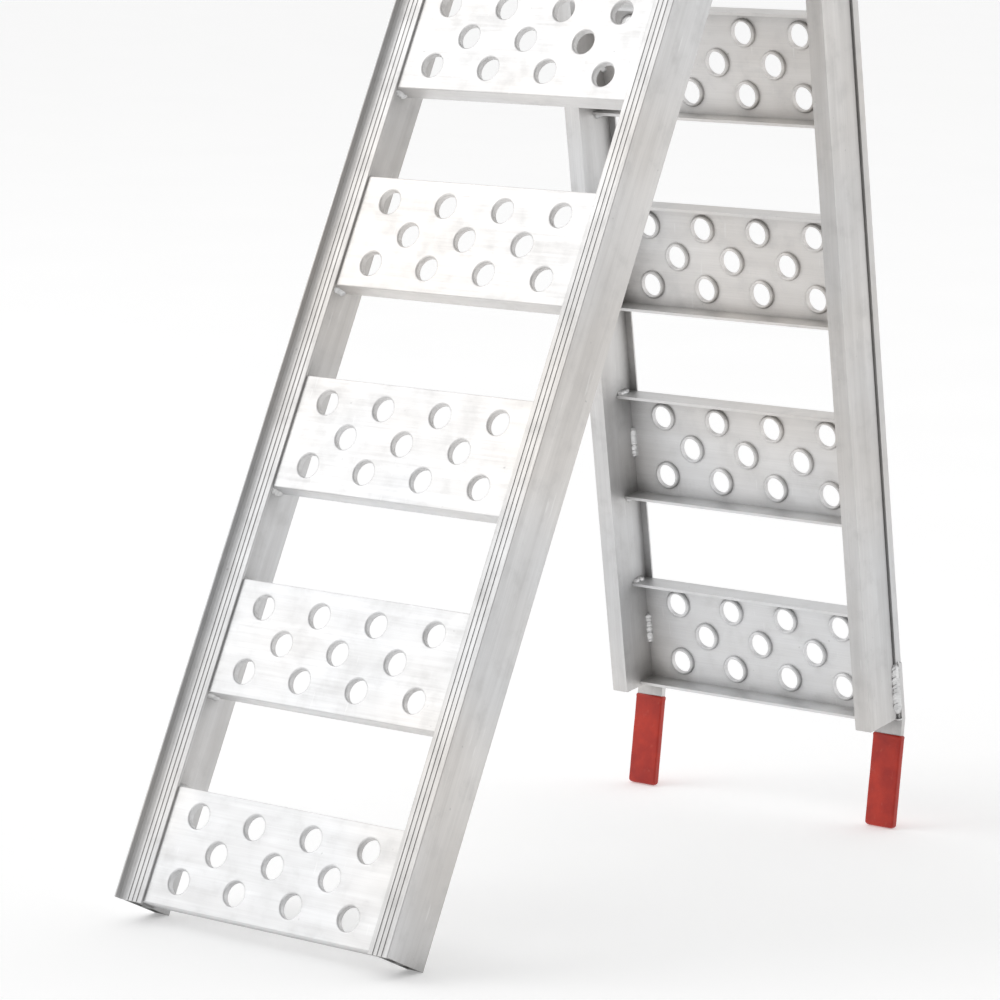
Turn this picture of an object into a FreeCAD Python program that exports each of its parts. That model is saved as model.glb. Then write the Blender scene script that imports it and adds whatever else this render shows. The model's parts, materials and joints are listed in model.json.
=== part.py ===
import FreeCAD, Part
import math
import os
import Sketcher

# Folding loading ramp, standing open as an A-frame. Two sections of hollow rails and punched channel
# rungs are joined by a pair of two-pivot links. Everything is drawn laid out flat: X across the ramp,
# Y along it with the joint at zero, Z up from the top of the rung plates. The placements then stand it up.

DIMENSIONS = {
    # rungs
    "pitch": 175, "rung_half": 48, "rung_thickness": 2.5, "rung_depth": 22, "bend_radius": 2,
    "hole_radius": 10, "hole_spacing": 59, "hole_row": 27, "collar_radius": 12.6, "collar_depth": 3.5,
    "rim_radius": 1.6, "collar_round": 2.2,
    # rails
    "half_width": 142.5, "web_half": 140.5, "inner_half": 124.5, "flange_half": 118,
    "rail_depth": 41.5, "flange_top": 2, "rim_top": 8.3, "rim_width": 2, "rib_width": 1.3, "rib_depth": 0.5,
    "web_wall": 3, "wall": 2.5, "ledge_depth": 20, "groove_height": 1.8, "groove_depth": 1,
    "cap_drop": 0.03, "seat_gap": 0.001,
    "end_margin": 50, "joint_gap": 1.5, "lower_rungs": 6, "upper_rungs": 5,
    # hinge
    "pivot_inset": 35.5, "pivot_depth": 32, "bolt_radius": 5, "bore_radius": 5.05, "play": 0.15,
    "link_half": 14, "link_thickness": 5, "glide_thickness": 1.5, "glide_radius": 12,
    "washer_thickness": 1.6, "washer_radius": 9, "hex_radius": 9.2, "head_height": 6.4,
    "nut_height": 9, "bolt_proud": 1, "sleeve_radius": 6.5,
    # lips
    "lip_centre": 130.25, "lip_width": 27.5, "lip_thickness": 5, "lip_seat": 50, "lip_reach": 96,
    "lip_angle": 16, "bend_offset": 1, "dip_thickness": 1, "dip_start": 15, "tip_radius": 3,
    # welds
    "weld_leg": 4, "weld_height": 15, "weld_rise": 2, "weld_length": 28, "seam_leg": 2.5, "seam_length": 44,
    # standing pose, each section's turn from the straight ramp
    "lower_turn": 63.1, "upper_turn": 82.3,
}

doc = FreeCAD.newDocument("Ramp")
sheet = doc.addObject("Spreadsheet::Sheet", "Sheet")
for row, (alias, value) in enumerate(DIMENSIONS.items(), start=1):
    sheet.set(f"A{row}", alias)
    sheet.set(f"B{row}", str(value))
    sheet.setAlias(f"B{row}", alias)
doc.recompute()

SIDES = {"left": -1, "right": 1}
THROUGH = 1
NEAR = 0.01
outputs = {}


def value(expression):
    """The number that an expression on the sheet gives."""
    result = sheet.evalExpression(expression)
    return float(getattr(result, "Value", result))


def bind(thing, **sizes):
    """Binds properties to expressions on the sheet."""
    for name, expression in sizes.items():
        thing.setExpression(name, expression)


def body(label):
    made = doc.addObject("PartDesign::Body", label)
    made.Label = label
    return made


def sketch(owner, role, offset="0"):
    """An empty sketch on one of the body's origin planes, moved along that plane's normal."""
    made = owner.newObject("Sketcher::SketchObject", f"{owner.Name}_sketch")
    plane = next(f for f in owner.Origin.OriginFeatures if f.Role == role)
    made.AttachmentSupport = [(plane, "")]
    made.MapMode = "FlatFace"
    made.setExpression(".AttachmentOffset.Base.z", offset)
    doc.recompute()
    return made


def fix_point(drawing, geometry, position, point):
    """Dimensions one sketch point from the sketch's origin, both ways."""
    for kind, expression in zip(("DistanceX", "DistanceY"), point):
        index = drawing.addConstraint(
            Sketcher.Constraint(kind, -1, 1, geometry, position, value(expression)))
        drawing.setExpression(f"Constraints[{index}]", expression)


def outline(drawing, points):
    """A closed outline through the points, each a pair of expressions."""
    first = drawing.GeometryCount
    corners = [FreeCAD.Vector(value(x), value(y), 0) for x, y in points]
    for start, end in zip(corners, corners[1:] + corners[:1]):
        drawing.addGeometry(Part.LineSegment(start, end), False)
    for index in range(len(points)):
        following = (index + 1) % len(points)
        drawing.addConstraint(
            Sketcher.Constraint("Coincident", first + index, 2, first + following, 1))
        fix_point(drawing, first + index, 1, points[index])


def rectangle(drawing, x_low, x_high, y_low, y_high):
    outline(drawing, [(x_low, y_low), (x_high, y_low), (x_high, y_high), (x_low, y_high)])


def circle(drawing, point, radius):
    centre = FreeCAD.Vector(value(point[0]), value(point[1]), 0)
    index = drawing.addGeometry(Part.Circle(centre, FreeCAD.Vector(0, 0, 1), value(radius)), False)
    fix_point(drawing, index, 3, point)
    size = drawing.addConstraint(Sketcher.Constraint("Radius", index, value(radius)))
    drawing.setExpression(f"Constraints[{size}]", radius)


def pad(owner, drawing, length, reverse=False, both=False):
    made = owner.newObject("PartDesign::Pad", f"{owner.Name}_pad")
    made.Profile = drawing
    made.Reversed = reverse
    made.Midplane = both
    made.setExpression("Length", length)
    doc.recompute()
    return made


def pocket(owner, drawing, length=None, reverse=False):
    """A pocket of one length, or through everything on both sides of its sketch."""
    before = owner.Shape.Volume
    made = owner.newObject("PartDesign::Pocket", f"{owner.Name}_pocket")
    made.Profile = drawing
    made.Reversed = reverse
    if length is None:
        made.Type = THROUGH
        made.Midplane = True
    else:
        made.setExpression("Length", length)
    doc.recompute()
    if not owner.Shape.Volume < before:
        raise RuntimeError(f"{owner.Label}: a pocket removed nothing")
    return made


def round_edges(owner, base, radius, wanted):
    """Fillets the edges of a feature that a test picks."""
    names = [f"Edge{i}" for i, edge in enumerate(base.Shape.Edges, start=1) if wanted(edge)]
    made = owner.newObject("PartDesign::Fillet", f"{owner.Name}_fillet")
    made.Base = (base, names)
    made.setExpression("Radius", radius)
    doc.recompute()
    return made


def is_upright(edge):
    """True for a straight edge along Z."""
    return edge.Curve.TypeId == "Part::GeomLine" and abs(edge.tangentAt(edge.FirstParameter).z) > 0.99


def is_ring(radius, height):
    """A test for a round edge of one radius whose centre lies at one height."""
    size = value(radius)
    level = value(height)
    return lambda edge: (edge.Curve.TypeId == "Part::GeomCircle" and abs(edge.Curve.Radius - size) < NEAR
                         and abs(edge.Curve.Center.z - level) < NEAR)


# ---- rails -------------------------------------------------------------------------------------------

RIB_LINES = ("122.5", "127", "131.5")


def rail_outline(sign):
    """The extrusion's outside: a deep box, a grooved top flange and a raised rim along its outer edge."""
    s = "Sheet."
    ribs = []
    for line in RIB_LINES:
        ribs += [(line, f"{s}flange_top"),
                 (line, f"{s}flange_top - {s}rib_depth"),
                 (f"{line} + {s}rib_width", f"{s}flange_top - {s}rib_depth"),
                 (f"{line} + {s}rib_width", f"{s}flange_top")]
    points = [
        (f"{s}web_half", f"-{s}rail_depth"),
        (f"{s}web_half", f"-{s}groove_height"),
        (f"{s}web_half - {s}groove_depth", f"-{s}groove_height"),
        (f"{s}web_half - {s}groove_depth", f"-{s}cap_drop"),
        (f"{s}half_width", f"-{s}cap_drop"),
        (f"{s}half_width", f"{s}rim_top - 0.25 * {s}rim_width"),
        (f"{s}half_width - 0.25 * {s}rim_width", f"{s}rim_top"),
        (f"{s}half_width - 0.75 * {s}rim_width", f"{s}rim_top"),
        (f"{s}half_width - {s}rim_width", f"{s}rim_top - 0.25 * {s}rim_width"),
        (f"{s}half_width - 1.4 * {s}rim_width", f"{s}flange_top + 0.35 * ({s}rim_top - {s}flange_top)"),
        (f"{s}half_width - 2.2 * {s}rim_width", f"{s}flange_top + 0.1 * ({s}rim_top - {s}flange_top)"),
        (f"{s}half_width - 3 * {s}rim_width", f"{s}flange_top"),
    ]
    points += [(x, y) for x, y in reversed(ribs)]
    points += [
        (f"{s}flange_half + 0.3 * {s}rib_width", f"{s}flange_top"),
        (f"{s}flange_half", f"{s}flange_top - 0.3 * {s}rib_width"),
        (f"{s}flange_half", f"{s}seat_gap"),
        (f"{s}inner_half", f"{s}seat_gap"),
        (f"{s}inner_half", f"-{s}rail_depth"),
    ]
    return [(f"{sign} * ({x})", y) for x, y in points]


def make_rail(section, side, direction, length, world):
    """One rail. Direction is -1 for the lower section and 1 for the upper one."""
    sign = SIDES[side]
    label = f"{section}_rail_{side}"
    rail = body(label)
    start = f"{-direction} * 0.5 * Sheet.joint_gap"
    profile = sketch(rail, "XZ_Plane", start)
    outline(profile, rail_outline(sign))
    inside = f"{sign} * (Sheet.inner_half + Sheet.wall)"
    outside = f"{sign} * (Sheet.web_half - Sheet.web_wall)"
    rectangle(profile, inside, outside,
              "-Sheet.rail_depth + Sheet.wall", "-Sheet.ledge_depth - Sheet.wall")
    rectangle(profile, inside, outside, "-Sheet.ledge_depth", "-0.4 * Sheet.wall")
    pad(rail, profile, length, reverse=direction > 0)
    bore = sketch(rail, "YZ_Plane")
    circle(bore, (f"{direction} * (Sheet.pivot_inset + 0.5 * Sheet.joint_gap)", "-Sheet.pivot_depth"),
           "Sheet.bore_radius")
    pocket(rail, bore)
    if section == "upper":
        # the rim is milled off where the lip plate lies on the flange
        seat = sketch(rail, "XZ_Plane", f"-({length} + 0.5 * Sheet.joint_gap)")
        rectangle(seat, f"{sign} * (Sheet.half_width - 4 * Sheet.rim_width)",
                  f"{sign} * (Sheet.half_width + Sheet.rim_width)",
                  "Sheet.flange_top", "Sheet.rim_top + Sheet.rim_width")
        pocket(rail, seat, "Sheet.lip_seat", reverse=True)
    rail.Placement = world
    outputs[label] = rail


# ---- rungs -------------------------------------------------------------------------------------------

def hole_centres():
    """Four, three and four holes, the middle row half a step over."""
    rows = ((1, 4), (0, 3), (-1, 4))
    return [(f"{index - (count - 1) / 2} * Sheet.hole_spacing", f"{row} * Sheet.hole_row")
            for row, count in rows for index in range(count)]


def channel_section(drawing):
    """A plate with a flange turned down at each edge, the outside corners chamfered where they bend."""
    s = "Sheet."
    half = f"{s}rung_half"
    cut = f"0.4 * {s}bend_radius"
    inner = f"({half} - {s}rung_thickness)"
    outside = [
        (f"-{half}", f"-{s}rung_depth"),
        (f"-{inner}", f"-{s}rung_depth"),
        (f"-{inner}", f"-{s}rung_thickness"),
        (inner, f"-{s}rung_thickness"),
        (inner, f"-{s}rung_depth"),
        (half, f"-{s}rung_depth"),
        (half, f"-{cut}"),
        (f"{half} - 0.3 * {cut}", f"-0.3 * {cut}"),
        (f"{half} - {cut}", "0"),
        (f"-{half} + {cut}", "0"),
        (f"-{half} + 0.3 * {cut}", f"-0.3 * {cut}"),
        (f"-{half}", f"-{cut}"),
    ]
    outline(drawing, outside)


def make_rung(label, centre, world):
    """A channel rung with eleven holes punched down into collars."""
    rung = body(label)
    profile = sketch(rung, "YZ_Plane")
    channel_section(profile)
    pad(rung, profile, "2 * Sheet.inner_half", both=True)
    collars = sketch(rung, "XY_Plane", "-0.8 * Sheet.rung_thickness")
    for point in hole_centres():
        circle(collars, point, "Sheet.collar_radius")
    pad(rung, collars, "Sheet.collar_depth", reverse=True)
    holes = sketch(rung, "XY_Plane")
    for point in hole_centres():
        circle(holes, point, "Sheet.hole_radius")
    punched = pocket(rung, holes)
    rims = round_edges(rung, punched, "Sheet.rim_radius", is_ring("Sheet.hole_radius", "0"))
    round_edges(rung, rims, "Sheet.collar_round",
                is_ring("Sheet.collar_radius", "-0.8 * Sheet.rung_thickness - Sheet.collar_depth"))
    rung.Placement = world.multiply(FreeCAD.Placement(FreeCAD.Vector(0, centre, 0), FreeCAD.Rotation()))
    outputs[label] = rung


# ---- lips --------------------------------------------------------------------------------------------

def make_lip(side, rail_end, world):
    """A flat bar on the flange, bent down past the rail's end."""
    sign = SIDES[side]
    label = f"lip_plate_{side}"
    lip = body(label)
    tilt = math.radians(value("Sheet.lip_angle"))
    bend = f"({rail_end} + Sheet.bend_offset)"
    slope = "Sheet.lip_reach"
    mitre = math.tan(tilt / 2) / 2
    top = "Sheet.flange_top + Sheet.lip_thickness"
    lean = f"{math.sin(tilt)} * Sheet.lip_thickness"
    rise = f"{math.cos(tilt)} * Sheet.lip_thickness"
    tip_y = f"{bend} - {mitre} * Sheet.lip_thickness + {math.cos(tilt)} * {slope}"
    tip_z = f"Sheet.flange_top - {math.sin(tilt)} * {slope}"
    side_view = sketch(lip, "YZ_Plane", f"{sign} * Sheet.lip_centre")
    outline(side_view, [
        (f"{rail_end} - Sheet.lip_seat", "Sheet.flange_top"),
        (f"{bend} - {mitre} * Sheet.lip_thickness", "Sheet.flange_top"),
        (tip_y, tip_z),
        (f"{tip_y} + {lean}", f"{tip_z} + {rise}"),
        (f"{bend} + {mitre} * Sheet.lip_thickness", top),
        (f"{rail_end} - Sheet.lip_seat", top),
    ])
    blank = pad(lip, side_view, "Sheet.lip_width", both=True)
    normal = FreeCAD.Vector(0, math.sin(tilt), math.cos(tilt))
    round_edges(lip, blank, "Sheet.tip_radius",
                lambda edge: edge.Curve.TypeId == "Part::GeomLine"
                and abs(edge.tangentAt(edge.FirstParameter).dot(normal)) > 0.999)
    lip.Placement = world
    outputs[label] = lip


def make_dip(side, rail_end, world):
    """The vinyl skin on a lip, drawn along the lip's own slope and then tilted with it."""
    sign = SIDES[side]
    label = f"lip_sleeve_{side}"
    skin = body(label)
    width = "(Sheet.lip_width + 2 * Sheet.dip_thickness)"
    plan = sketch(skin, "XY_Plane")
    rectangle(plan, f"-0.5 * {width}", f"0.5 * {width}",
              "Sheet.dip_start", "Sheet.lip_reach + Sheet.dip_thickness")
    block = pad(skin, plan, "Sheet.lip_thickness + 2 * Sheet.dip_thickness", both=True)
    tip = value("Sheet.lip_reach")
    rounded = round_edges(skin, block, "Sheet.tip_radius",
                          lambda edge: is_upright(edge) and edge.CenterOfMass.y > tip)
    hollow = sketch(skin, "XZ_Plane", "-Sheet.dip_start")
    rectangle(hollow, "-0.5 * Sheet.lip_width", "0.5 * Sheet.lip_width",
              "-0.5 * Sheet.lip_thickness", "0.5 * Sheet.lip_thickness")
    pocket(skin, hollow, "Sheet.lip_reach - Sheet.dip_start")
    tilt = value("Sheet.lip_angle")
    mitre = math.tan(math.radians(tilt) / 2) / 2 * value("Sheet.lip_thickness")
    half = value("Sheet.lip_thickness") / 2
    # the slope's middle line starts half a thickness above its lower face
    base = FreeCAD.Vector(
        sign * value("Sheet.lip_centre"),
        value(f"{rail_end} + Sheet.bend_offset") - mitre + half * math.sin(math.radians(tilt)),
        value("Sheet.flange_top") + half * math.cos(math.radians(tilt)))
    local = FreeCAD.Placement(base, FreeCAD.Rotation(FreeCAD.Vector(1, 0, 0), -tilt))
    skin.Placement = world.multiply(local)
    outputs[label] = skin


# ---- welds -------------------------------------------------------------------------------------------

def bead(name, leg, length, corner, axes):
    """A three-sided bead in a corner. Axes are the two legs and the run, as a right-handed set."""
    made = doc.addObject("Part::Wedge", name)
    made.Xmin = 0
    made.Ymin = 0
    made.Zmin = 0
    made.Z2min = 0
    made.X2min = 0
    made.X2max = 0
    bind(made, Xmax=leg, Ymax=leg, Zmax=length, Z2max=length)
    across, up, run = (FreeCAD.Vector(*axis) for axis in axes)
    made.Placement = FreeCAD.Placement(FreeCAD.Matrix(
        across.x, up.x, run.x, corner[0],
        across.y, up.y, run.y, corner[1],
        across.z, up.z, run.z, corner[2],
        0, 0, 0, 1))
    return made


def group(label, members, world):
    """Separate solids kept as one named part."""
    made = doc.addObject("Part::Compound", label)
    made.Label = label
    made.Links = members
    made.Placement = world
    outputs[label] = made


def rung_beads(section, centres, end_rung, direction):
    """Beads up the outer faces of both flanges and one under the middle of the plate, at each end."""
    wall = value("Sheet.inner_half")
    half = value("Sheet.rung_half")
    low = value("Sheet.weld_rise - Sheet.rung_depth")
    under = -value("Sheet.rung_thickness")
    run = value("Sheet.weld_length") / 2
    beads = []
    for index, centre in enumerate(centres, start=1):
        for side, sign in SIDES.items():
            for edge in (-1, 1):
                if index == end_rung and edge == direction:
                    # no room between the last flange and the rail's end
                    continue
                legs = ((-sign, 0, 0), (0, edge, 0))
                if sign * edge > 0:
                    legs = legs[::-1]
                name = f"{section}_flange_bead_{index}_{side}_{'near' if edge < 0 else 'far'}"
                beads.append(bead(name, "Sheet.weld_leg", "Sheet.weld_height",
                                  (sign * wall, centre + edge * half, low), (*legs, (0, 0, 1))))
            legs = ((-sign, 0, 0), (0, 0, -1))
            if sign < 0:
                legs = legs[::-1]
            beads.append(bead(f"{section}_plate_bead_{index}_{side}", "Sheet.weld_leg",
                              "Sheet.weld_length", (sign * wall, centre - run, under),
                              (legs[1], legs[0], (0, 1, 0))))
    return beads


def lip_beads(rail_end):
    """A bead along each lip plate, in the corner that it makes with the rail's outer side."""
    beads = []
    length = value("Sheet.seam_length")
    start = value(f"{rail_end} - Sheet.lip_seat") + (value("Sheet.lip_seat") - length) / 2
    for side, sign in SIDES.items():
        legs = ((sign, 0, 0), (0, 0, -1))
        if sign > 0:
            legs = legs[::-1]
        beads.append(bead(f"lip_bead_{side}", "Sheet.seam_leg", "Sheet.seam_length",
                          (sign * value("Sheet.half_width"), start, value("Sheet.flange_top")),
                          (legs[1], legs[0], (0, 1, 0))))
    return beads


# ---- hinge -------------------------------------------------------------------------------------------

def lathe_x(kind, name, x_start, y_position, radius, length):
    """A round or six-sided piece whose axis lies along X at a pivot's height."""
    made = doc.addObject(kind, name)
    if kind == "Part::Cylinder":
        bind(made, Radius=radius, Height=length)
    else:
        made.Polygon = 6
        bind(made, Circumradius=radius, Height=length)
    made.Placement = FreeCAD.Placement(
        FreeCAD.Vector(x_start, y_position, -value("Sheet.pivot_depth")),
        FreeCAD.Rotation(FreeCAD.Vector(0, 1, 0), 90))
    return made


def cut(name, base, tool):
    made = doc.addObject("Part::Cut", name)
    made.Base = base
    made.Tool = tool
    return made


def ring(name, sign, inner_face, y_position, radius, thickness, kind="Part::Cylinder"):
    """A washer, nut or tube bored for the bolt. Inner_face is its face nearest the ramp's middle."""
    low = value(inner_face) if sign > 0 else -value(inner_face) - value(thickness)
    outer = lathe_x(kind, f"{name}_body", low, y_position, radius, thickness)
    bore = lathe_x("Part::Cylinder", f"{name}_bore", low, y_position, "Sheet.bore_radius", thickness)
    return cut(name, outer, bore)


LINK_FACE = "(Sheet.web_half + Sheet.glide_thickness + Sheet.play)"
OUTER_WASHER = f"({LINK_FACE} + Sheet.link_thickness + Sheet.play)"
BOLT_SEAT = f"({OUTER_WASHER} + Sheet.washer_thickness)"
INNER_WASHER = "(Sheet.inner_half - Sheet.washer_thickness)"
NUT_FACE = f"({INNER_WASHER} - Sheet.nut_height)"
BOLT_END = f"({NUT_FACE} - Sheet.bolt_proud)"


def make_bolt(name, sign, y_position):
    """A six-sided head outside the link and a shank through link, rail and nut."""
    head_low = value(BOLT_SEAT) if sign > 0 else -value(f"{BOLT_SEAT} + Sheet.head_height")
    shank_low = value(BOLT_END) if sign > 0 else -value(BOLT_SEAT)
    head = lathe_x("Part::Prism", f"{name}_head", head_low, y_position,
                   "Sheet.hex_radius", "Sheet.head_height")
    shank = lathe_x("Part::Cylinder", f"{name}_shank", shank_low, y_position,
                    "Sheet.bolt_radius", f"{BOLT_SEAT} - {BOLT_END}")
    made = doc.addObject("Part::MultiFuse", name)
    made.Shapes = [head, shank]
    return made


def make_pivots(section, direction, world):
    """Both pivots of one section: bolts, nuts, washers, nylon glides and the tubes inside the rails."""
    y_position = direction * value("Sheet.pivot_inset + 0.5 * Sheet.joint_gap")
    sets = {"bolts": [], "nuts": [], "washers": [], "glides": [], "tubes": []}
    for side, sign in SIDES.items():
        name = f"{section}_{side}"
        sets["bolts"].append(make_bolt(f"{name}_bolt", sign, y_position))
        sets["nuts"].append(ring(f"{name}_nut", sign, NUT_FACE, y_position,
                                 "Sheet.hex_radius", "Sheet.nut_height", "Part::Prism"))
        for place, face in (("outer", OUTER_WASHER), ("inner", INNER_WASHER)):
            sets["washers"].append(ring(f"{name}_{place}_washer", sign, face, y_position,
                                        "Sheet.washer_radius", "Sheet.washer_thickness"))
        sets["glides"].append(ring(f"{name}_glide", sign, "Sheet.web_half", y_position,
                                   "Sheet.glide_radius", "Sheet.glide_thickness"))
        sets["tubes"].append(ring(f"{name}_tube", sign, "(Sheet.inner_half + Sheet.wall)", y_position,
                                  "Sheet.sleeve_radius",
                                  "Sheet.web_half - Sheet.web_wall - Sheet.inner_half - Sheet.wall"))
    for kind, members in sets.items():
        group(f"{section}_pivot_{kind}", members, world)


def make_link(side, world):
    """A flat link with round ends and two bores."""
    sign = SIDES[side]
    label = f"hinge_link_{side}"
    reach = "(Sheet.pivot_inset + 0.5 * Sheet.joint_gap)"
    low = value(LINK_FACE) if sign > 0 else -value(f"{LINK_FACE} + Sheet.link_thickness")
    ends = [lathe_x("Part::Cylinder", f"{label}_end_{n}", low, n * value(reach),
                    "Sheet.link_half", "Sheet.link_thickness") for n in (-1, 1)]
    bores = [lathe_x("Part::Cylinder", f"{label}_bore_{n}", low, n * value(reach),
                     "Sheet.bore_radius", "Sheet.link_thickness") for n in (-1, 1)]
    middle = doc.addObject("Part::Box", f"{label}_middle")
    bind(middle, Length="Sheet.link_thickness", Width=f"2 * {reach}", Height="2 * Sheet.link_half")
    middle.Placement.Base = FreeCAD.Vector(
        low, -value(reach), -value("Sheet.pivot_depth + Sheet.link_half"))
    blank = doc.addObject("Part::MultiFuse", f"{label}_blank")
    blank.Shapes = [middle] + ends
    drill = doc.addObject("Part::Compound", f"{label}_drill")
    drill.Links = bores
    made = cut(label, blank, drill)
    made.Label = label
    made.Placement = world
    outputs[label] = made


# ---- standing the ramp up ----------------------------------------------------------------------------

def turn(degrees, y_position):
    """A turn about the X axis through a pivot."""
    centre = FreeCAD.Vector(0, y_position, -value("Sheet.pivot_depth"))
    return FreeCAD.Placement(FreeCAD.Vector(), FreeCAD.Rotation(FreeCAD.Vector(1, 0, 0), degrees), centre)


def lip_tip():
    """The lip's lowest corner when it stands: the upper corner of the dipped tip."""
    tilt = math.radians(value("Sheet.lip_angle"))
    along = value("Sheet.lip_reach + Sheet.dip_thickness")
    half = value("Sheet.lip_thickness") / 2
    above = half + value("Sheet.dip_thickness")
    bend_y = value(f"{UPPER_END} + Sheet.bend_offset") - math.tan(tilt / 2) * half
    return FreeCAD.Vector(
        0,
        bend_y + along * math.cos(tilt) + (half + above) * math.sin(tilt),
        value("Sheet.flange_top") - along * math.sin(tilt) + (half + above) * math.cos(tilt))


LOWER_END = "((Sheet.lower_rungs - 0.5) * Sheet.pitch + Sheet.end_margin)"
UPPER_END = "((Sheet.upper_rungs - 0.5) * Sheet.pitch + Sheet.end_margin)"
LOWER_LENGTH = f"{LOWER_END} - 0.5 * Sheet.joint_gap"
UPPER_LENGTH = f"{UPPER_END} - 0.5 * Sheet.joint_gap"

pivot_y = value("Sheet.pivot_inset + 0.5 * Sheet.joint_gap")
lower_pose = turn(value("Sheet.lower_turn"), -pivot_y)
upper_pose = turn(-value("Sheet.upper_turn"), pivot_y)

# both feet go to one level: the lower rail's bottom corner and the tip of the lip
heel = lower_pose.multVec(FreeCAD.Vector(0, -value(LOWER_END), -value("Sheet.rail_depth")))
toe = upper_pose.multVec(lip_tip())
level = FreeCAD.Placement(
    FreeCAD.Vector(),
    FreeCAD.Rotation(FreeCAD.Vector(1, 0, 0), -math.degrees(math.atan2(toe.z - heel.z, toe.y - heel.y))))
heel_level = level.multVec(heel)
toe_level = level.multVec(toe)


# ---- the two sections and the links ------------------------------------------------------------------

def build(shift):
    """Makes every part with the whole ramp moved by a shift."""
    stand = FreeCAD.Placement(shift, FreeCAD.Rotation()).multiply(level)
    lower = stand.multiply(lower_pose)
    upper = stand.multiply(upper_pose)
    pitch = value("Sheet.pitch")
    lower_count = int(value("Sheet.lower_rungs"))
    upper_count = int(value("Sheet.upper_rungs"))
    lower_centres = [-(lower_count - 0.5 - n) * pitch for n in range(lower_count)]
    upper_centres = [(upper_count - 0.5 - n) * pitch for n in range(upper_count)]
    for side in SIDES:
        make_rail("lower", side, -1, LOWER_LENGTH, lower)
        make_rail("upper", side, 1, UPPER_LENGTH, upper)
        make_lip(side, UPPER_END, upper)
        make_dip(side, UPPER_END, upper)
        make_link(side, stand)
    for number, centre in enumerate(lower_centres, start=1):
        make_rung(f"lower_rung_{number}", centre, lower)
    for number, centre in enumerate(upper_centres, start=1):
        make_rung(f"upper_rung_{number}", centre, upper)
    group("lower_welds", rung_beads("lower", lower_centres, 1, -1), lower)
    group("upper_welds", rung_beads("upper", upper_centres, 1, 1), upper)
    group("lip_welds", lip_beads(UPPER_END), upper)
    make_pivots("lower", -1, lower)
    make_pivots("upper", 1, upper)


# the widest points along Y are the lower rail's rim at its foot and the toe end of the upper section
front = min((level.multiply(lower_pose)).multVec(
    FreeCAD.Vector(0, -value(LOWER_END), z)).y for z in (value("Sheet.rim_top"), -value("Sheet.rail_depth")))
back = max(
    toe_level.y,
    level.multiply(upper_pose).multVec(
        FreeCAD.Vector(0, value(f"{UPPER_END} + Sheet.bend_offset"),
                       value("Sheet.flange_top + Sheet.lip_thickness"))).y)
build(FreeCAD.Vector(0, -(front + back) / 2, -heel_level.z))
doc.recompute()

# ---- checks and export -------------------------------------------------------------------------------

for item in doc.Objects:
    if {"Invalid", "Error"} & set(item.State):
        raise RuntimeError(f"{item.Label}: {item.State}")
os.makedirs("parts", exist_ok=True)
for label, item in outputs.items():
    if item.Shape.isNull() or not item.Shape.isValid():
        raise RuntimeError(f"{label}: bad shape")
    item.Shape.exportStep(f"parts/{label}.step")
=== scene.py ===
import json
import math
import random

import bmesh
import bpy
from mathutils import Euler, Matrix, Vector, noise


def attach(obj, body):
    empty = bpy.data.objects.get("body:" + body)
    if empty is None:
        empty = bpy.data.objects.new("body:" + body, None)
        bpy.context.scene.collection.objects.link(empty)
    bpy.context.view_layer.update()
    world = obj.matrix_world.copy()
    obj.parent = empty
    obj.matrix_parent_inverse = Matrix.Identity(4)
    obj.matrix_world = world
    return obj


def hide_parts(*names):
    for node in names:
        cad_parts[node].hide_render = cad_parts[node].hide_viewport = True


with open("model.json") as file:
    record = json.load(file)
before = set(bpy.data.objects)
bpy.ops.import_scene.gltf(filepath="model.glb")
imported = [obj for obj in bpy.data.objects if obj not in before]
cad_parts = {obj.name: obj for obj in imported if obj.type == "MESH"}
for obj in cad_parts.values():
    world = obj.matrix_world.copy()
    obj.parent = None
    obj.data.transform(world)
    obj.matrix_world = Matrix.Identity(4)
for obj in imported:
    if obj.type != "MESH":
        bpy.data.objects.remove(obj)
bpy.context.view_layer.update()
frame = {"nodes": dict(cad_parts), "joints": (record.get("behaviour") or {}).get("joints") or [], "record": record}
nodes = frame["nodes"]
record = frame["record"]

# ---- the two sections' own axes, from the record ---------------------------------------------------------
# Each section was drawn flat: X across, Y along the ramp, Z out of the running surface. The lower section's
# end face looks along its -Y, and the pivots' ranges say how far each section turned from the straight ramp.

mounts = {m["name"]: m for m in record["mounts"]}
joints = {j["name"]: j for j in frame["joints"]}
foot_axis = Vector(mounts["ground_end_left"]["axis"])
LOWER_TURN = math.atan2(-foot_axis.z, -foot_axis.y)
UPPER_TURN = LOWER_TURN - math.radians(
    joints["upper_pivot"]["range_deg"][1] - joints["lower_pivot"]["range_deg"][0])
LOWER_PIVOT = Vector(joints["lower_pivot"]["pos_m"])
UPPER_PIVOT = Vector(joints["upper_pivot"]["pos_m"])

# sizes of the design, in metres, that the pieces made here have to meet
PIVOT_INSET = 0.03625
PIVOT_DEPTH = 0.032
PITCH = 0.175
RUNG_HALF = 0.048
RUNG_DEPTH = 0.022
RUNG_PLATE = 0.0025
WALL_HALF = 0.1245
WEB_HALF = 0.1405
FLANGE_TOP = 0.002
END_MARGIN = 0.05
RUNG_COUNT = {"lower": 6, "upper": 5}
DIRECTION = {"lower": -1, "upper": 1}
LIP_CENTRE = 0.13025
LIP_WIDTH = 0.0275
LIP_THICK = 0.005
LIP_SEAT = 0.05
LIP_REACH = 0.096
LIP_ANGLE = math.radians(16)
BEND_OFFSET = 0.001
DIP_START = 0.015
DIP_THICK = 0.001
BOLT_SEAT = 0.1489
HEAD_HEIGHT = 0.0064
HEX_FLAT = 0.00797
BOLT_RADIUS = 0.005
NUT_FACE = 0.1139
NUT_HEIGHT = 0.009
BOLT_END = 0.1129


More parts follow.
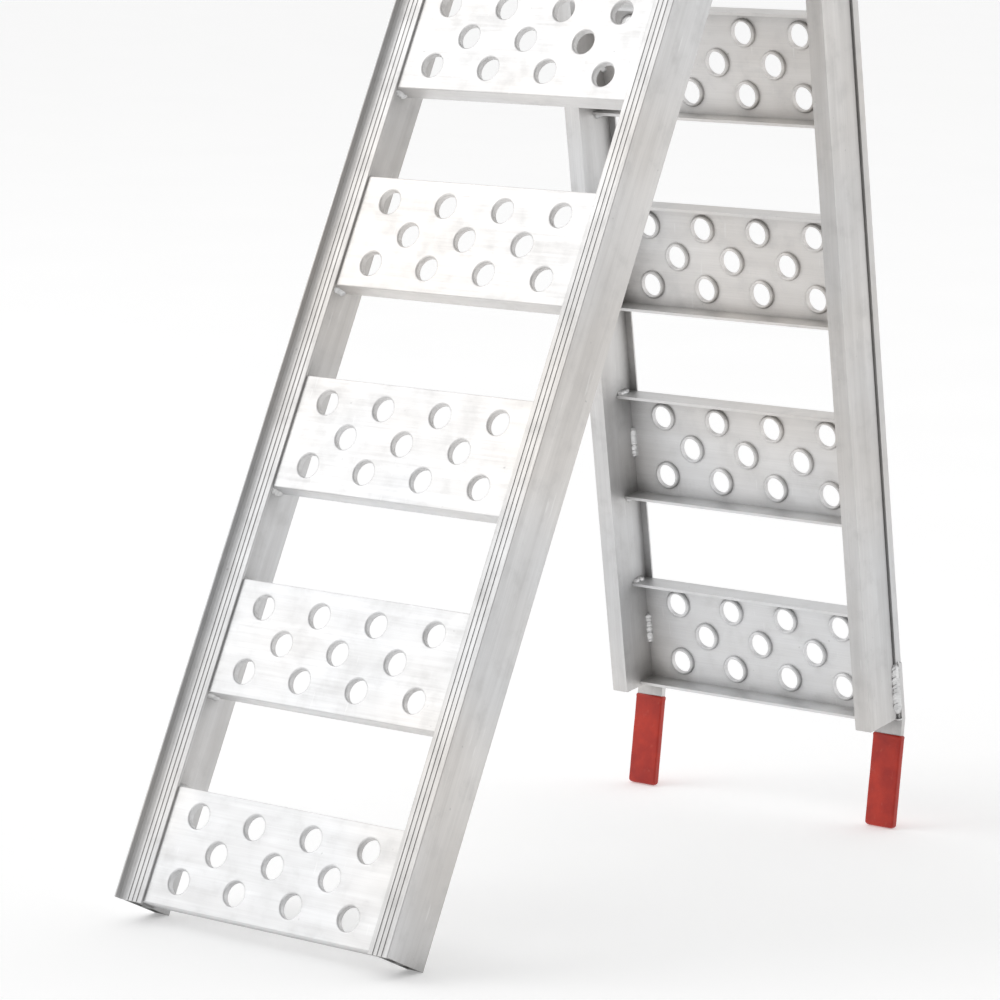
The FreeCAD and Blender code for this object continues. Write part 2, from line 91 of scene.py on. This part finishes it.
def section_matrix(turn, pivot, pivot_y):
    """Takes a point of a section drawn flat to its place in the standing ramp."""
    spin = Matrix.Rotation(turn, 4, "X")
    return Matrix.Translation(pivot) @ spin @ Matrix.Translation((0, -pivot_y, PIVOT_DEPTH))


LOWER = section_matrix(LOWER_TURN, LOWER_PIVOT, -PIVOT_INSET)
UPPER = section_matrix(UPPER_TURN, UPPER_PIVOT, PIVOT_INSET)

# ---- materials -------------------------------------------------------------------------------------------


class Graph:
    """A small helper that adds shader nodes and wires them."""

    def __init__(self, name):
        self.material = bpy.data.materials.new(name)
        self.material.use_nodes = True
        self.tree = self.material.node_tree
        self.shader = self.tree.nodes["Principled BSDF"]

    def add(self, kind, links=None, **settings):
        node = self.tree.nodes.new(kind)
        for key, setting in settings.items():
            setattr(node, key, setting)
        for socket, source in (links or {}).items():
            target = node.inputs[socket]
            if isinstance(source, bpy.types.NodeSocket):
                self.tree.links.new(source, target)
            else:
                target.default_value = source
        return node

    def math(self, operation, first, second):
        return self.add("ShaderNodeMath", {0: first, 1: second}, operation=operation).outputs[0]

    def mix(self, factor, first, second, blend="MIX"):
        node = self.add("ShaderNodeMix", data_type="RGBA", blend_type=blend)
        for socket, source in ((0, factor), (6, first), (7, second)):
            if isinstance(source, bpy.types.NodeSocket):
                self.tree.links.new(source, node.inputs[socket])
            else:
                node.inputs[socket].default_value = source
        return node.outputs[2]

    def span(self, source, low, high, new_low=0.0, new_high=1.0):
        ends = {0: source, 1: low, 2: high, 3: new_low, 4: new_high}
        return self.add("ShaderNodeMapRange", ends).outputs[0]

    def coordinates(self, turn, stretch=(1, 1, 1)):
        """Object coordinates turned so that Y runs along the section."""
        place = self.add("ShaderNodeTexCoord")
        turned = self.add("ShaderNodeMapping", {"Vector": place.outputs["Object"],
                                                "Rotation": (-turn, 0, 0)}, vector_type="POINT")
        scaled = self.add("ShaderNodeMapping", {"Vector": turned.outputs[0], "Scale": stretch},
                          vector_type="POINT")
        return scaled.outputs[0]

    def noise(self, vector, scale, detail=2.0, roughness=0.5):
        node = self.add("ShaderNodeTexNoise", {"Vector": vector, "Scale": scale, "Detail": detail,
                                               "Roughness": roughness})
        return node.outputs["Fac"]

    def crevice(self, reach):
        """Open surfaces give 1 and corners within reach of other metal give less."""
        return self.add("ShaderNodeAmbientOcclusion", {"Distance": reach}, samples=6).outputs["AO"]

    def bump(self, height, strength, distance, normal=None):
        links = {"Height": height, "Strength": strength, "Distance": distance}
        if normal is not None:
            links["Normal"] = normal
        return self.add("ShaderNodeBump", links).outputs[0]

    def connect(self, **sockets):
        for name, source in sockets.items():
            target = self.shader.inputs[name.replace("_", " ")]
            if isinstance(source, bpy.types.NodeSocket):
                self.tree.links.new(source, target)
            else:
                target.default_value = source


def grey(level, warmth=0.0):
    return (level * (1 + warmth), level, level * (1 - warmth), 1)


def aluminium(name, turn, along, light, dark, rough=(0.40, 0.58), reach=0.020, painted_shade_strength=0.60):
    """Mill-finish aluminium. Along is the axis that its die or rolling lines run on, X or Y."""
    g = Graph(name)
    fine = (14, 900, 900) if along == "X" else (900, 14, 900)
    broad = (5, 70, 70) if along == "X" else (70, 4, 70)
    lines = g.noise(g.coordinates(turn, fine), 1.0, 3.0, 0.6)
    streaks = g.noise(g.coordinates(turn, broad), 1.0, 3.0, 0.55)
    cloud = g.noise(g.coordinates(turn), 9.0, 4.0, 0.6)
    tint = g.noise(g.coordinates(turn), 4.0, 2.0, 0.5)
    smudge = g.noise(g.coordinates(turn), 42.0, 5.0, 0.65)
    scratch = g.span(g.noise(g.coordinates(turn, (160, 14, 160)), 2.2, 1.0, 0.4), 0.74, 0.78)
    nick = g.span(g.noise(g.coordinates(turn), 210.0, 2.0, 0.5), 0.74, 0.80)
    tone = g.span(g.math("ADD", g.math("MULTIPLY", streaks, 0.6), g.math("MULTIPLY", cloud, 0.4)),
                  0.36, 0.64)
    colour = g.mix(tone, dark, light)
    warm = g.mix(g.span(tint, 0.4, 0.62), (0.975, 0.985, 1.0, 1), (1.0, 0.975, 0.95, 1))
    colour = g.mix(1.0, colour, warm, "MULTIPLY")
    worn = tuple(c * 0.80 for c in dark[:3]) + (1,)
    colour = g.mix(g.math("MULTIPLY", g.span(smudge, 0.52, 0.72), 0.30), colour, worn)
    colour = g.mix(g.math("MULTIPLY", g.span(lines, 0.35, 0.65), 0.12), colour, worn)
    colour = g.mix(g.math("MULTIPLY", scratch, 0.22), colour, grey(0.95))
    colour = g.mix(g.math("MULTIPLY", nick, 0.45), colour, grey(0.36))
    finish = g.span(g.math("ADD", g.math("MULTIPLY", lines, 0.5), g.math("MULTIPLY", smudge, 0.5)),
                    0.3, 0.7, rough[0], rough[1])
    relief = g.bump(lines, 0.3, 0.00005)
    marks = g.math("SUBTRACT", cloud, g.math("ADD", g.math("MULTIPLY", scratch, 0.15),
                                             g.math("MULTIPLY", nick, 0.2)))
    relief = g.bump(marks, 0.12, 0.0006, relief)
    # painted shade: near-black mixed into the metal in corners, under flanges and between parts, where shade
    # falls, broken up by the smudge noise
    painted_corner_shade = g.span(g.crevice(reach), 0.25, 0.80, painted_shade_strength, 0.0)
    patchy = g.span(smudge, 0.3, 0.65, 0.75, 1.0)
    colour = g.mix(g.math("MULTIPLY", painted_corner_shade, patchy), colour, grey(0.20, 0.015))
    g.connect(Base_Color=colour, Metallic=0.82, Roughness=finish, Normal=relief)
    return g.material


def weld_metal(name):
    g = Graph(name)
    place = g.coordinates(0.0)
    soot = g.noise(place, 160.0, 3.0, 0.6)
    grain = g.noise(place, 900.0, 2.0, 0.6)
    colour = g.mix(g.span(soot, 0.35, 0.7), grey(0.62), grey(0.86))
    relief = g.bump(grain, 0.4, 0.0002)
    g.connect(Base_Color=colour, Metallic=1.0, Roughness=g.span(grain, 0.3, 0.7, 0.28, 0.5),
              Normal=relief)
    return g.material


def zinc_plate(name):
    g = Graph(name)
    place = g.coordinates(0.0)
    bloom = g.noise(place, 120.0, 3.0, 0.6)
    grain = g.noise(place, 1400.0, 2.0, 0.6)
    colour = g.mix(g.span(bloom, 0.35, 0.65), (0.62, 0.64, 0.66, 1), (0.80, 0.80, 0.78, 1))
    g.connect(Base_Color=colour, Metallic=1.0, Roughness=g.span(bloom, 0.3, 0.7, 0.22, 0.38),
              Normal=g.bump(grain, 0.25, 0.00008))
    return g.material


def nylon(name):
    g = Graph(name)
    place = g.coordinates(0.0)
    mottle = g.noise(place, 90.0, 3.0, 0.5)
    colour = g.mix(g.span(mottle, 0.3, 0.7), (0.70, 0.68, 0.62, 1), (0.82, 0.81, 0.76, 1))
    g.connect(Base_Color=colour, Roughness=g.span(mottle, 0.3, 0.7, 0.42, 0.58),
              Normal=g.bump(g.noise(place, 1500.0, 2.0), 0.2, 0.00006))
    g.connect(Subsurface_Weight=0.15)
    return g.material


def dipped_vinyl(name, turn):
    """Soft red plastisol: satin, a little uneven, with faint runs towards the tip."""
    g = Graph(name)
    place = g.coordinates(turn)
    runs = g.noise(g.coordinates(turn, (230, 20, 230)), 1.0, 2.0, 0.5)
    mottle = g.noise(place, 60.0, 3.0, 0.55)
    pores = g.noise(place, 1100.0, 2.0, 0.6)
    scuff = g.span(g.noise(g.coordinates(turn, (90, 60, 90)), 2.0, 4.0, 0.65), 0.60, 0.72)
    colour = g.mix(g.span(mottle, 0.3, 0.7), (0.36, 0.013, 0.006, 1), (0.52, 0.030, 0.012, 1))
    colour = g.mix(g.math("MULTIPLY", scuff, 0.35), colour, (0.55, 0.10, 0.07, 1))
    relief = g.bump(runs, 0.25, 0.0008)
    relief = g.bump(pores, 0.2, 0.0001, relief)
    g.connect(Base_Color=colour, Roughness=g.span(mottle, 0.3, 0.7, 0.36, 0.52), Normal=relief,
              Specular_IOR_Level=0.4, Coat_Weight=0.15, Coat_Roughness=0.25)
    return g.material


LIGHT, DARK = grey(0.74, 0.006), grey(0.60, 0.012)
# the rails take wider and darker painted corner shade than the rungs
lower_rail = aluminium("rail_metal_lower", LOWER_TURN, "Y", LIGHT, DARK, reach=0.040, painted_shade_strength=0.80)
upper_rail = aluminium("rail_metal_upper", UPPER_TURN, "Y", LIGHT, DARK, reach=0.040, painted_shade_strength=0.80)
lower_rung = aluminium("rung_metal_lower", LOWER_TURN, "X", grey(0.82, 0.004), grey(0.73, 0.010))
upper_rung = aluminium("rung_metal_upper", UPPER_TURN, "X", grey(0.82, 0.004), grey(0.73, 0.010))
link_metal = aluminium("link_metal", 0.0, "Y", LIGHT, DARK)
weld = weld_metal("weld_metal")
zinc = zinc_plate("zinc_plate")
glide = nylon("nylon")
vinyl = dipped_vinyl("red_vinyl", UPPER_TURN)


def paint(obj, material):
    obj.data.materials.clear()
    obj.data.materials.append(material)


def metal_for(name):
    if "rung" in name:
        return lower_rung if name.startswith("lower") else upper_rung
    if "rail" in name:
        return lower_rail if name.startswith("lower") else upper_rail
    if name.startswith("lip_plate"):
        return upper_rail
    if name.startswith("lip_sleeve"):
        return vinyl
    if "weld" in name:
        return weld
    if "link" in name:
        return link_metal
    if "glide" in name:
        return glide
    return zinc


for name, obj in nodes.items():
    paint(obj, metal_for(name))
    # a hair of a broken edge on the sawn and extruded pieces, so that they catch light
    if any(kind in name for kind in ("rail", "link", "lip_plate", "washer")):
        edge = obj.modifiers.new("broken_edge", "BEVEL")
        edge.width = 0.0003
        edge.segments = 2
        edge.limit_method = "ANGLE"
        edge.angle_limit = math.radians(40)

# ---- pieces made here ------------------------------------------------------------------------------------


def make_piece(name, verts, faces, matrix, body, material, replaced=(), sharp=40):
    """A closed mesh given in a section's flat coordinates and put in its place on the ramp."""
    mesh = bpy.data.meshes.new(name)
    mesh.from_pydata([matrix @ Vector(v) for v in verts], [], faces)
    shell = bmesh.new()
    shell.from_mesh(mesh)
    bmesh.ops.recalc_face_normals(shell, faces=shell.faces)
    shell.to_mesh(mesh)
    shell.free()
    mesh.shade_smooth()
    mesh.set_sharp_from_angle(angle=math.radians(sharp))
    piece = bpy.data.objects.new(name, mesh)
    bpy.context.scene.collection.objects.link(piece)
    paint(piece, material)
    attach(piece, body)
    if replaced:
        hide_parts(*replaced)
    return piece


def skin_rings(verts, faces, rings, looped=False):
    """Joins rings of points, each as long as the others, into a closed shell, capped or looped round."""
    count = len(rings[0])
    first = len(verts)
    for ring in rings:
        verts.extend(ring)
    last = len(rings) if looped else len(rings) - 1
    for row in range(last):
        low = first + row * count
        high = first + ((row + 1) % len(rings)) * count
        for step in range(count):
            following = (step + 1) % count
            faces.append((low + step, low + following, high + following, high + step))
    if not looped:
        faces.append(tuple(range(first, first + count)))
        end = first + (len(rings) - 1) * count
        faces.append(tuple(range(end, end + count)))


RIPPLE = 0.0017
RIPPLE_STEP = 0.00034
ARC_POINTS = 9


def weld_bead(verts, faces, corner, across, up, run, legs, length, chance):
    """One bead: overlapping ripples laid along a corner, each as if the pool had just set."""
    corner, across, up, run = Vector(corner), Vector(across), Vector(up), Vector(run)
    sizes = [chance.uniform(0.86, 1.12) for _ in range(int(length / RIPPLE) + 6)]
    drift = chance.uniform(-0.12, 0.12)
    rings = []
    steps = max(8, int(length / RIPPLE_STEP))
    for step in range(steps + 1):
        place = step / steps
        from_end = min(place, 1 - place) * length / max(legs)
        swell = 0.35 + 0.65 * math.sqrt(min(1, from_end / 0.7))
        ring = [corner + run * (place * length)]
        for point in range(ARC_POINTS):
            share = point / (ARC_POINTS - 1)
            lag = 0.45 * max(legs) * math.sin(math.pi * share)
            travelled = (place * length + lag) / RIPPLE
            index, part = int(travelled), travelled % 1
            crest = 0.90 + 0.10 * math.sin(math.pi * part) ** 0.5
            radius = swell * sizes[index] * crest
            a = legs[0] * radius * (1 + drift) * math.cos(share * math.pi / 2) ** 1.3
            b = legs[1] * radius * (1 - drift) * math.sin(share * math.pi / 2) ** 1.3
            ring.append(corner + run * (place * length) + across * a + up * b)
        rings.append(ring)
    skin_rings(verts, faces, rings)


FLANGE_BEAD = 0.015
PLATE_BEAD = 0.028
WELD_RISE = 0.002
WELD_LEGS = (0.0036, 0.0036)
SHARP_ON_SOFT = 60


def rung_centres(section):
    count = RUNG_COUNT[section]
    return [DIRECTION[section] * (count - 0.5 - n) * PITCH for n in range(count)]


def make_rung_welds(section, matrix):
    """Beads on the outside of both flanges and a longer one under the plate, at both ends of each rung."""
    chance = random.Random(section)
    verts, faces = [], []
    for index, centre in enumerate(rung_centres(section)):
        for side in (-1, 1):
            for edge in (-1, 1):
                if index == 0 and edge == DIRECTION[section]:
                    continue  # the ramp's end rungs have no bead on their outer flange
                weld_bead(verts, faces,
                          (side * WALL_HALF, centre + edge * RUNG_HALF, WELD_RISE - RUNG_DEPTH),
                          (-side, 0, 0), (0, edge, 0), (0, 0, 1), WELD_LEGS, FLANGE_BEAD, chance)
            weld_bead(verts, faces, (side * WALL_HALF, centre - PLATE_BEAD / 2, -RUNG_PLATE),
                      (-side, 0, 0), (0, 0, -1), (0, 1, 0), WELD_LEGS, PLATE_BEAD, chance)
    make_piece(f"{section}_weld_beads", verts, faces, matrix, f"{section}_section", weld,
               [f"{section}_welds"], SHARP_ON_SOFT)


UPPER_END = (RUNG_COUNT["upper"] - 0.5) * PITCH + END_MARGIN
SEAM = 0.046
SEAM_LEGS = (0.0040, 0.0062)
PLATE_END_LEGS = (0.0035, 0.004)
RAIL_END_LEGS = (0.003, 0.004)


def make_lip_welds():
    """A seam down each lip plate's outer side that turns in across the plate's end and the rail's end."""
    chance = random.Random(7)
    verts, faces = [], []
    inner_edge = LIP_CENTRE - LIP_WIDTH / 2
    outer_edge = LIP_CENTRE + LIP_WIDTH / 2
    for side in (-1, 1):
        weld_bead(verts, faces, (side * WEB_HALF, UPPER_END - LIP_SEAT, FLANGE_TOP), (side, 0, 0),
                  (0, 0, -1), (0, 1, 0), SEAM_LEGS, SEAM, chance)
        weld_bead(verts, faces, (side * inner_edge, UPPER_END - LIP_SEAT, FLANGE_TOP), (0, -1, 0),
                  (0, 0, 1), (side, 0, 0), PLATE_END_LEGS, outer_edge - inner_edge, chance)
        weld_bead(verts, faces, (side * WALL_HALF, UPPER_END, FLANGE_TOP), (0, 1, 0), (0, 0, -1),
                  (side, 0, 0), RAIL_END_LEGS, outer_edge - WALL_HALF, chance)
    make_piece("lip_weld_beads", verts, faces, UPPER, "upper_section", weld,
               ["lip_welds"], SHARP_ON_SOFT)


def rounded_rectangle(width, height, radius, corner_steps=6):
    """Points round a rectangle in X and Z with round corners."""
    points = []
    for quarter, (x_side, z_side) in enumerate(((1, 1), (-1, 1), (-1, -1), (1, -1))):
        for step in range(corner_steps + 1):
            angle = (quarter + step / corner_steps) * math.pi / 2
            points.append((x_side * (width / 2 - radius) + radius * math.cos(angle),
                           z_side * (height / 2 - radius) + radius * math.sin(angle)))
    return points


def lip_matrix(side):
    """The lip's slope: X across, Y down the slope from the bend, Z out of the lip, in its middle plane."""
    half = LIP_THICK / 2
    start = UPPER_END + BEND_OFFSET - math.tan(LIP_ANGLE / 2) * half + half * math.sin(LIP_ANGLE)
    base = Vector((side * LIP_CENTRE, start, FLANGE_TOP + half * math.cos(LIP_ANGLE)))
    return UPPER @ Matrix.Translation(base) @ Matrix.Rotation(-LIP_ANGLE, 4, "X")


SLEEVE_STEP = 0.0012
SLEEVE_CORNER = 0.0017
TIP_RADIUS = 0.003
TIP_STEPS = 8
TIP_ROOM = 0.005
START_STATIONS = [0.0, 0.0002, 0.0005, 0.0009, 0.0014, 0.002]
ROLL_LENGTH = 0.0012
ROLL_START = 0.0002
ROLL_SWELL = 0.00022
RUN_HEIGHT = 0.00025
TIP_THICKNESS = 0.0012
WANDER = 0.0004


def make_sleeve(side, label):
    """A dipped skin: a rolled start, softly uneven faces and a rounded tip where the dip ran thick."""
    length = LIP_REACH + DIP_THICK - DIP_START
    width = LIP_WIDTH + 2 * DIP_THICK
    height = LIP_THICK + 2 * DIP_THICK
    middle = length - TIP_ROOM
    steps = int(middle / SLEEVE_STEP)
    stations = list(START_STATIONS)
    stations += [START_STATIONS[-1] + middle * (n + 1) / steps for n in range(steps)]
    tail = length - stations[-1]
    stations += [length - tail * math.cos(math.pi / 2 * (n + 1) / TIP_STEPS) for n in range(TIP_STEPS)]
    rings = []
    for station in stations:
        rolled = math.sqrt(min(1, (station + 0.0001) / ROLL_LENGTH))
        lip = ROLL_SWELL * math.exp(-((station - 0.0016) / ROLL_LENGTH) ** 2)
        left = max(0, TIP_RADIUS - (length - station))
        narrow = TIP_RADIUS - math.sqrt(max(0, TIP_RADIUS ** 2 - left ** 2))
        thin_left = max(0, height / 2 - (length - station))
        thin = height / 2 - math.sqrt(max(0, (height / 2) ** 2 - thin_left ** 2))
        run = RUN_HEIGHT * max(0, station / length - 0.55)
        bare_width = LIP_WIDTH + ROLL_START
        bare_height = LIP_THICK + ROLL_START
        ring_width = bare_width + (width - LIP_WIDTH - ROLL_START) * rolled + 2 * lip - 2 * narrow
        ring_height = bare_height + (height - LIP_THICK - ROLL_START) * rolled + 2 * lip + 2 * run
        ring_height = max(TIP_THICKNESS, ring_height - 1.7 * thin)
        corner = min(SLEEVE_CORNER, 0.48 * ring_height)
        ring = []
        for x, z in rounded_rectangle(ring_width, ring_height, corner):
            sample = Vector((x * 90 + side * 5, station * 60, z * 90))
            swell = 1 + 0.010 * noise.noise(sample)
            edge = Vector((x * 160, z * 160, side * 3))
            wander = WANDER * noise.noise(edge) * (1 - station / length)
            ring.append((x * swell, DIP_START + station + wander, z * swell))
        rings.append(ring)
    verts, faces = [], []
    skin_rings(verts, faces, rings)
    make_piece(f"lip_dip_{label}", verts, faces, lip_matrix(side), "upper_section", vinyl,
               [f"lip_sleeve_{label}"], SHARP_ON_SOFT)


TURN_STEPS = 72
CHAMFER = math.tan(math.radians(30))
CHAMFER_START = 0.94 * HEX_FLAT
THREAD_PITCH = 0.0015
THREAD_DEPTH = 0.0007
THREAD_LENGTH = 0.016
THREAD_START = 0.0006
SHARP_ON_THREADS = 28
STEPS_PER_THREAD = 6
WASHER_FACE = 0.0005
COLLAR_HEIGHT = 0.0026
NUT_BORE = BOLT_RADIUS + 0.0001
# the lock nut's crimped collar and nylon ring, each point a height over the nut's face and a radius
COLLAR_PROFILE = ((0.0022, 0.0070), (0.0008, 0.0068), (0.0002, 0.0065), (0.0, 0.0061), (0.0005, 0.0058),
                  (0.0005, NUT_BORE))
INSERT_PROFILE = ((0.0006, 0.0059), (0.0003, 0.0057), (0.0003, 0.0051), (0.0006, 0.0050))


def hex_radius(angle):
    sixth = math.pi / 3
    return HEX_FLAT / math.cos(angle % sixth - sixth / 2)


def turned(verts, faces, stations, side, y_position, looped=False):
    """A piece turned about a pivot's axis. Each station gives X and a radius for an angle."""
    rings = []
    for station in stations:
        ring = []
        for step in range(TURN_STEPS):
            angle = 2 * math.pi * step / TURN_STEPS
            x, radius = station(angle)
            ring.append((side * x, y_position + radius * math.cos(angle),
                         radius * math.sin(angle) - PIVOT_DEPTH))
        rings.append(ring)
    skin_rings(verts, faces, rings, looped=looped)


def round_at(x, radius):
    return lambda angle: (x, radius)


def hex_at(x):
    return lambda angle: (x, hex_radius(angle))


def hex_chamfer(x, inward):
    return lambda angle: (x + inward * (hex_radius(angle) - CHAMFER_START) * CHAMFER, hex_radius(angle))


def thread_at(x):
    def station(angle):
        turn = (x / THREAD_PITCH + angle / (2 * math.pi)) % 1
        return x, BOLT_RADIUS - THREAD_DEPTH * abs(2 * turn - 1)
    return station


def bolt_stations():
    """A chamfered six-sided head with a washer face, a plain shank and a thread to the end."""
    stations = [round_at(BOLT_SEAT + HEAD_HEIGHT, CHAMFER_START),
                hex_chamfer(BOLT_SEAT + HEAD_HEIGHT, -1),
                hex_at(BOLT_SEAT + WASHER_FACE),
                round_at(BOLT_SEAT + WASHER_FACE, CHAMFER_START),
                round_at(BOLT_SEAT, CHAMFER_START),
                round_at(BOLT_SEAT, BOLT_RADIUS)]
    steps = int(THREAD_LENGTH / THREAD_PITCH * STEPS_PER_THREAD)
    for step in range(steps + 1):
        stations.append(thread_at(BOLT_END + THREAD_START + THREAD_LENGTH * (1 - step / steps)))
    stations.append(round_at(BOLT_END, BOLT_RADIUS - 1.2 * THREAD_DEPTH))
    return stations


def nut_stations():
    """A lock nut: chamfered both ways, its crimped collar towards the ramp's middle."""
    seat = NUT_FACE + NUT_HEIGHT
    collar = NUT_FACE + COLLAR_HEIGHT
    stations = [round_at(seat, CHAMFER_START), hex_chamfer(seat, -1), hex_chamfer(collar, 1),
                round_at(collar, CHAMFER_START)]
    stations += [round_at(NUT_FACE + height, radius) for height, radius in COLLAR_PROFILE]
    return stations + [round_at(seat, NUT_BORE)]


def insert_stations():
    """The nylon ring just inside the lock nut's collar."""
    return [round_at(NUT_FACE + height, radius) for height, radius in INSERT_PROFILE]


def make_fasteners(section, matrix):
    y_position = DIRECTION[section] * PIVOT_INSET
    for kind, stations, looped, slot, material, replaced in (
            ("bolt_set", bolt_stations(), False, "zinc_steel", zinc, [f"{section}_pivot_bolts"]),
            ("nut_set", nut_stations(), True, "zinc_steel", zinc, [f"{section}_pivot_nuts"]),
            ("nut_inserts", insert_stations(), True, "nylon", glide, [])):
        verts, faces = [], []
        for side in (-1, 1):
            turned(verts, faces, stations, side, y_position, looped)
        make_piece(f"{section}_{kind}", verts, faces, matrix, f"{section}_section", material,
                   replaced, SHARP_ON_THREADS)


for section, matrix in (("lower", LOWER), ("upper", UPPER)):
    make_rung_welds(section, matrix)
    make_fasteners(section, matrix)
make_lip_welds()
make_sleeve(-1, "left")
make_sleeve(1, "right")

# ---- studio ----------------------------------------------------------------------------------------------


FLOOR_HALF = 80


def make_floor():
    mesh = bpy.data.meshes.new("floor")
    corners = [(x * FLOOR_HALF, y * FLOOR_HALF, 0) for x, y in ((-1, -1), (1, -1), (1, 1), (-1, 1))]
    mesh.from_pydata(corners, [], [(0, 1, 2, 3)])
    floor = bpy.data.objects.new("floor", mesh)
    bpy.context.scene.collection.objects.link(floor)
    g = Graph("floor_paper")
    soft = g.noise(g.coordinates(0.0), 3.0, 3.0)
    g.connect(Base_Color=g.mix(soft, (0.86, 0.86, 0.86, 1), (0.90, 0.90, 0.90, 1)), Roughness=0.9,
              Emission_Color=(1, 1, 1, 1), Emission_Strength=0.27)
    paint(floor, g.material)


def make_light(name, place, target, size, power):
    light = bpy.data.lights.new(name, "AREA")
    light.shape = "RECTANGLE"
    light.size, light.size_y = size
    light.energy = power
    obj = bpy.data.objects.new(name, light)
    obj.location = place
    obj.rotation_euler = (Vector(target) - Vector(place)).to_track_quat("-Z", "Y").to_euler()
    bpy.context.scene.collection.objects.link(obj)


def glow(tree, direction, towards, start, full):
    """How far a direction in the studio points at one of its bright walls, from 0 to 1."""
    facing = tree.nodes.new("ShaderNodeVectorMath")
    facing.operation = "DOT_PRODUCT"
    facing.inputs[1].default_value = Vector(towards).normalized()
    ramp = tree.nodes.new("ShaderNodeMapRange")
    ramp.interpolation_type = "SMOOTHSTEP"
    ramp.inputs["From Min"].default_value = start
    ramp.inputs["From Max"].default_value = full
    tree.links.new(direction, facing.inputs[0])
    tree.links.new(facing.outputs["Value"], ramp.inputs["Value"])
    return ramp.outputs[0]


def make_world(base, walls):
    """A dim studio with soft bright walls, each a direction, where its light starts and is full, a level."""
    world = bpy.data.worlds.new("studio")
    world.use_nodes = True
    tree = world.node_tree
    place = tree.nodes.new("ShaderNodeTexCoord").outputs["Generated"]
    level = None
    for towards, start, full, strength in walls:
        step = tree.nodes.new("ShaderNodeMath")
        step.operation = "MULTIPLY_ADD"
        step.inputs[1].default_value = strength
        step.inputs[2].default_value = base
        tree.links.new(glow(tree, place, towards, start, full), step.inputs[0])
        if level is not None:
            tree.links.new(level, step.inputs[2])
        level = step.outputs[0]
    tree.links.new(level, tree.nodes["Background"].inputs["Strength"])
    tree.nodes["Background"].inputs["Color"].default_value = (1, 1, 1, 1)
    bpy.context.scene.world = world


WALLS = [((-0.62, -0.54, 0.56), 0.35, 0.95, 0.57),
         ((0.62, 0.78, 0.10), 0.40, 0.95, 0.75),
         ((-0.62, 0.70, 0.35), 0.45, 0.95, 0.45)]

make_floor()
make_world(0.36, WALLS)
make_light("key", (-5.0, -4.0, 5.2), (0, 0, 0.4), (5, 5), 115)

camera = bpy.data.cameras.new("camera")
camera.lens = 153.68
camera.clip_end = 300
view = bpy.data.objects.new("camera", camera)
view.location = (2.1647, -2.7221, 0.8541)
view.rotation_euler = Euler([math.radians(a) for a in (81.178, -0.530, 38.998)])
bpy.context.scene.collection.objects.link(view)
bpy.context.scene.camera = view
bpy.context.scene.view_settings.view_transform = "Standard"
